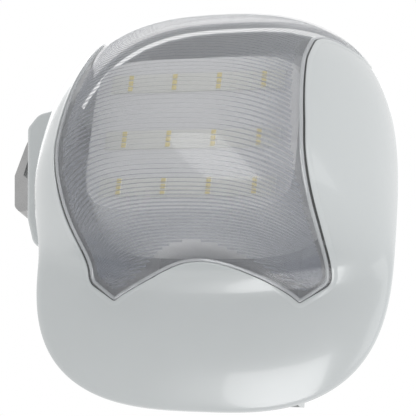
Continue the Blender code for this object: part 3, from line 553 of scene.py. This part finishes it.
def build_cover():
    cover = form_shell("cover_shell", 0.0, WALL, COVER_TOP, "white_gloss")
    carve(cover, pod_block(), "UNION")
    carve(cover, prism("lens_opening", lens_outline(), CUT_BELOW, LENS_TOP))
    carve(cover, prism("pod_hollow", rounded(POD_HOLLOW), POD_BOTTOM + 12 * MM, POD_TOP - 3 * MM))
    angles = np.linspace(0, 2 * math.pi, 240, endpoint=False)
    radius = plan_radius(angles, -1.0 * MM)
    room = list(zip(radius * np.cos(angles), radius * np.sin(angles)))
    carve(cover, prism("pod_case_room", room, POD_BOTTOM + 13.1 * MM, POD_TOP + 9 * MM))
    carve(cover, block("lever_slot", (-200, -114.5, -79), (-176, -80, -53)))
    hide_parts("cover")


def build_lens():
    lens = form_shell("lens_shell", LENS_SUNK, LENS_THICK, LENS_TOP - 0.5 * MM, "smoked_lens")
    carve(lens, prism("lens_keep", lens_outline(0.5 * MM), CUT_BELOW, LENS_TOP - 0.4 * MM), "INTERSECT")
    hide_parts("lens")


# ------------------------------------------------------------------ beads along the lens edge

def visible_edge(spacing=1.0 * MM):
    """Evenly spaced plan points of the lens outline, from border to border round the chin."""
    outline = np.array(lens_outline())
    start = int(np.argmax(outline[:, 1] < -0.2))
    outline = np.roll(outline, -start, axis=0)
    radius = np.hypot(outline[:, 0], outline[:, 1])
    limit = plan_radius(np.arctan2(outline[:, 1], outline[:, 0]))
    closed = np.vstack([outline, outline[:1]])
    length = np.concatenate([[0], np.cumsum(np.hypot(*np.diff(closed, axis=0).T))])
    even = np.arange(0, length[-1], spacing)
    x = np.interp(even, length, closed[:, 0])
    y = np.interp(even, length, closed[:, 1])
    inside = np.hypot(x, y) < plan_radius(np.arctan2(y, x)) * 0.997
    first = int(np.argmax(inside & ~np.roll(inside, 1)))
    x, y, inside = (np.roll(array, -first) for array in (x, y, inside))
    count = int(np.argmin(inside)) if not inside.all() else len(x)
    return x[:count], y[:count]


def smoothed(values, passes=2):
    for _ in range(passes):
        inner = (values[:-2] + 2 * values[1:-1] + values[2:]) / 4
        values = np.concatenate([values[:1], inner, values[-1:]])
    return values


def sweep(name, x, y, profile, slot, material=None):
    """Sweep a closed profile along plan points on the cover. profile(i) gives (across, out) pairs."""
    x = smoothed(x)
    y = smoothed(y)
    place = np.stack([x, y, RIM - cover_depth(x, y)], -1)
    tangent = np.gradient(place, axis=0)
    tangent /= np.linalg.norm(tangent, axis=1, keepdims=True)
    normal = cover_normal(x, y)
    across = np.cross(tangent, normal)
    across /= np.linalg.norm(across, axis=1, keepdims=True)
    to_middle = np.stack([-x, DOME_CENTRE_Y - y, 0 * x], -1)
    if np.sum(across * to_middle) > 0:
        across = -across
    verts = []
    for i in range(len(x)):
        for s, n in profile(i):
            verts.append(place[i] + across[i] * s * MM + normal[i] * n * MM)
    columns = len(profile(0))
    faces = grid_faces(len(x), columns)
    faces.append(tuple(range(columns)))
    faces.append(tuple(range((len(x) - 1) * columns, len(x) * columns)))
    return add_piece(name, verts, faces, slot, material=material)


def side_share(x, y):
    """1 along the two long sides of the lens, 0 along the chin arc."""
    return np.clip((np.abs(x) - 88 * MM) / (14 * MM), 0, 1)


def build_edges():
    x, y = visible_edge()
    side = smoothed(side_share(x, y), 30)

    def opening_lip(i):
        proud = 0.25 + 0.3 * side[i]
        return [(0.1, -2.3), (0.1, proud - 0.5), (0.35, proud - 0.15), (0.9, proud), (2.0, proud * 0.9),
                (3.4, proud * 0.5), (4.8, 0.02), (5.2, -0.6), (5.2, -2.3)]

    # Painted shade: a black strip sunk in the gap between lens and cover, standing for the dark gap line;
    # wider along the sides.
    def gap_shade_strip(i):
        wide = 0.5 + 1.3 * side[i]
        return [(0.05, -2.6), (0.05, -0.7), (-wide, -0.7), (-wide, -2.6)]

    def lens_bead(i):
        wide = 0.55 + 1.3 * side[i]
        return [(-wide, -2.4), (-wide, -0.5), (-wide - 0.3, -0.05), (-wide - 0.9, 0.2), (-wide - 1.8, 0.1),
                (-wide - 2.6, -0.3), (-wide - 3.1, -0.75), (-wide - 3.1, -1.2), (-wide - 1.6, -2.4)]

    sweep("opening_lip", x, y, opening_lip, "white_gloss")
    sweep("lens_gap_shade", x, y, gap_shade_strip, "black_plastic", "lens_gap_shade")
    sweep("lens_bead", x, y, lens_bead, "smoked_lens", "lens_edge")


# ------------------------------------------------------------------ ribs inside the lens

RIB_PITCH = 4.3 * MM
RIB_MARGIN = 7.0 * MM
RIB_DROP = 5.7 * MM
RIB_DROP_AT = 85.0 * MM
RIB_STEP = 1.6 * MM
RIB_REACH = 150 * MM
RIB_BORDER_SHARE = 0.985
# Ribs grow from the middle towards the sides and the chin, and fade towards the lamp end
SIDE_FROM = 34 * MM
SIDE_OVER = 52 * MM
CHIN_FROM = -14 * MM
CHIN_OVER = 34 * MM
FADE_FROM = -175 * MM
FADE_OVER = 90 * MM


def rib_levels():
    """Where each rib crosses the middle plane: even steps along the lens's own profile."""
    y = np.linspace(-HALF_LENGTH_LAMP + 4 * MM, 58 * MM, 4000)
    x = np.full_like(y, 60 * MM)
    z = RIM - cover_depth(x, y)
    length = np.concatenate([[0], np.cumsum(np.hypot(np.diff(y), np.diff(z)))])
    return np.interp(np.arange(0, length[-1], RIB_PITCH), length, y)


def inside_outline(x, y, outline, margin):
    """True where a point is inside the outline and at least margin away from it."""
    a = outline
    b = np.roll(outline, -1, axis=0)
    p = np.stack([x, y], -1)[:, None]
    d = b - a
    t = np.clip(((p - a) * d).sum(-1) / (d * d).sum(-1), 0, 1)
    near = np.linalg.norm(p - (a + t[..., None] * d), axis=-1).min(1)
    crosses = (a[:, 1] > p[..., 1]) != (b[:, 1] > p[..., 1])
    at = a[:, 0] + (p[..., 1] - a[:, 1]) * d[:, 0] / np.where(d[:, 1] == 0, 1e-9, d[:, 1])
    inside = (crosses & (p[..., 0] < at)).sum(1) % 2 == 1
    return inside & (near > margin)


def build_ribs():
    outline = np.array(lens_outline())
    outline = outline[np.hypot(*np.diff(outline, axis=0, append=outline[:1]).T) > 1e-6]
    verts = []
    faces = []
    for level in rib_levels():
        x = np.arange(-RIB_REACH, RIB_REACH + MM, RIB_STEP)
        y = level + RIB_DROP * (x / RIB_DROP_AT) ** 4
        border = plan_radius(np.arctan2(y, x)) * RIB_BORDER_SHARE
        good = inside_outline(x, y, outline, RIB_MARGIN) & (np.hypot(x, y) < border)
        runs = np.split(np.arange(len(x)), np.nonzero(np.diff(good.astype(int)))[0] + 1)
        for run in runs:
            if not good[run[0]] or len(run) < 4:
                continue
            rx, ry = x[run], y[run]
            place = np.stack([rx, ry, RIM - cover_depth(rx, ry)], -1)
            normal = cover_normal(rx, ry)
            tangent = np.gradient(place, axis=0)
            tangent /= np.linalg.norm(tangent, axis=1, keepdims=True)
            across = np.cross(tangent, normal)
            depth = LENS_SUNK + LENS_THICK + 0.05 * MM
            side = np.clip((np.abs(rx) - SIDE_FROM) / SIDE_OVER, 0, 1) ** 1.4
            chin = np.clip((ry - CHIN_FROM) / CHIN_OVER, 0, 1)
            share = np.maximum(side, chin) * np.clip((ry - FADE_FROM) / FADE_OVER, 0.1, 1)
            half = (0.12 + 1.15 * share)[:, None] * MM
            tall = (0.2 + 1.3 * share)[:, None] * MM
            first = len(verts)
            ring = np.stack([place - normal * depth - across * half,
                             place - normal * (depth + tall),
                             place - normal * depth + across * half], 1)
            verts.extend(ring.reshape(-1, 3))
            faces += grid_faces(len(run), 3, first)
            faces.append((first, first + 1, first + 2))
            end = first + 3 * (len(run) - 1)
            faces.append((end, end + 1, end + 2))
    add_piece("lens_ribs", verts, faces, "smoked_lens", material="lens_rib")


# ------------------------------------------------------------------ lamp boards

def rounded_box(low, high, round_by):
    """Vertices and faces of a box with rounded edges, in metres."""
    bm = bmesh.new()
    bmesh.ops.create_cube(bm, size=1.0)
    bmesh.ops.scale(bm, vec=Vector(high) - Vector(low), verts=bm.verts)
    bmesh.ops.translate(bm, vec=(Vector(low) + Vector(high)) / 2, verts=bm.verts)
    bmesh.ops.bevel(bm, geom=list(bm.edges), offset=round_by, segments=2, affect="EDGES", profile=0.5)
    verts = [tuple(v.co) for v in bm.verts]
    faces = [tuple(v.index for v in f.verts) for f in bm.faces]
    bm.free()
    return verts, faces


def joined(parts):
    verts = []
    faces = []
    for part_verts, part_faces in parts:
        first = len(verts)
        verts += part_verts
        faces += [tuple(first + i for i in face) for face in part_faces]
    return verts, faces


LAMP_COLUMNS = (-57 * MM, -19 * MM, 19 * MM, 57 * MM)
BOARD_THICK = 1.6 * MM
PACKAGE_SPACING = 5 * MM
PACKAGE_HALF = 2.3 * MM
CHIP_HALF = 2.0 * MM


def lamp_box(x, y, board_low, half, below, round_by):
    """A square box under a lamp board, between two distances below it."""
    lowest, highest = below
    low = (x - half, y - half, board_low - lowest)
    high = (x + half, y + half, board_low - highest)
    return rounded_box(low, high, round_by)


def build_lamp_boards():
    """Each lamp strip as a board with four columns of three packages, each with its chip."""
    for row in (1, 2, 3):
        node = "lamp_strip_%d" % row
        low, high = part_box(node)
        middle = (low.y + high.y) / 2
        board_low = high.z - BOARD_THICK
        board = joined([rounded_box((low.x, low.y, board_low), (high.x, high.y, high.z), 0.3 * MM)])
        obj = add_piece("lamp_board_%d" % row, *board, "lamp_strip")
        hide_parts(node)
        packages = []
        chips = []
        for x in LAMP_COLUMNS:
            for y in (middle - PACKAGE_SPACING, middle, middle + PACKAGE_SPACING):
                packages.append(lamp_box(x, y, board_low, PACKAGE_HALF, (0.9 * MM, 0.05 * MM), 0.2 * MM))
                chips.append(lamp_box(x, y, board_low, CHIP_HALF, (1.3 * MM, 0.8 * MM), 0.35 * MM))
        add_piece("lamp_packages_%d" % row, *joined(packages), "lamp_strip")
        add_piece("lamp_chips_%d" % row, *joined(chips), "lamp_strip", material="lamp_chip")


# ------------------------------------------------------------------ camera, lights, stage

UNIT = 0.85 * MM
CAMERA_YAW = 0.320
CAMERA_PITCH = 0.312
CAMERA_ROLL = -0.100
CAMERA_AWAY = 1500 * UNIT
IMAGE_SIDE = 416
FRAME_MIDDLE = (217.9, 241.3)


def build_camera():
    yaw, pitch, roll = CAMERA_YAW, CAMERA_PITCH, CAMERA_ROLL
    back = Vector((math.sin(yaw) * math.cos(pitch), math.sin(pitch), -math.cos(yaw) * math.cos(pitch)))
    up = Vector((math.sin(yaw) * math.sin(pitch), -math.cos(pitch), -math.cos(yaw) * math.sin(pitch)))
    right = Vector((math.cos(yaw), 0, math.sin(yaw)))
    axis_x = right * math.cos(roll) - up * math.sin(roll)
    axis_y = right * math.sin(roll) + up * math.cos(roll)
    data = bpy.data.cameras.new("camera")
    data.sensor_width = 36
    data.lens = 36 * CAMERA_AWAY / UNIT / IMAGE_SIDE
    data.shift_x = (IMAGE_SIDE / 2 - FRAME_MIDDLE[0]) / IMAGE_SIDE
    data.shift_y = (FRAME_MIDDLE[1] - IMAGE_SIDE / 2) / IMAGE_SIDE
    data.clip_start = 0.05
    data.clip_end = 20
    camera = bpy.data.objects.new("camera", data)
    turn = Matrix((axis_x, axis_y, back)).transposed().to_4x4()
    camera.matrix_world = Matrix.Translation(Vector((0, 0, RIM)) + back * CAMERA_AWAY) @ turn
    bpy.context.scene.collection.objects.link(camera)
    bpy.context.scene.camera = camera


def area_light(name, place, target, size, power, across=(1, 0, 0)):
    """A rectangular light facing the target, with its width along the across direction."""
    data = bpy.data.lights.new(name, "AREA")
    data.shape = "RECTANGLE"
    data.size, data.size_y = size
    data.energy = power
    light = bpy.data.objects.new(name, data)
    back = (Vector(place) - Vector(target)).normalized()
    side = (Vector(across) - back * back.dot(Vector(across))).normalized()
    turn = Matrix((side, back.cross(side), back)).transposed().to_4x4()
    light.matrix_world = Matrix.Translation(place) @ turn
    bpy.context.scene.collection.objects.link(light)
    return light


def build_lights():
    middle = (0, -0.03, -0.11)
    soft_box = area_light("soft_box", (0.06, 0.75, -0.85), middle, (0.62, 1.5), 14, (0.9, -0.12, -0.05))
    soft_box.visible_diffuse = False
    area_light("right_fill", (1.4, 0.3, -0.7), middle, (1.2, 1.2), 5)
    area_light("top_fill", (-0.6, -1.1, 1.1), middle, (1.4, 1.4), 5)
    world = bpy.data.worlds.new("studio")
    world.use_nodes = True
    background = world.node_tree.nodes["Background"]
    background.inputs["Color"].default_value = (1, 1, 1, 1)
    background.inputs["Strength"].default_value = 1.0
    bpy.context.scene.world = world
    bpy.context.scene.view_settings.view_transform = "Standard"


def build_stage():
    """A pale floor well below the hanging head."""
    size = 9.0
    level = -2.4
    mesh = bpy.data.meshes.new("floor")
    corners = [(-size, -size, level), (size, -size, level), (size, size, level), (-size, size, level)]
    mesh.from_pydata(corners, [], [(0, 1, 2, 3)])
    floor = bpy.data.objects.new("floor", mesh)
    bpy.context.scene.collection.objects.link(floor)
    material = moulded("floor", (0.86, 0.86, 0.86), 0.7, 30.0, 0.0002, spread=0.01)
    mesh.materials.append(material)


def main():
    finish_cad_nodes()
    build_camera()
    build_lights()
    build_stage()
    build_cover()
    build_lens()
    build_edges()
    build_ribs()
    build_lamp_boards()


main()
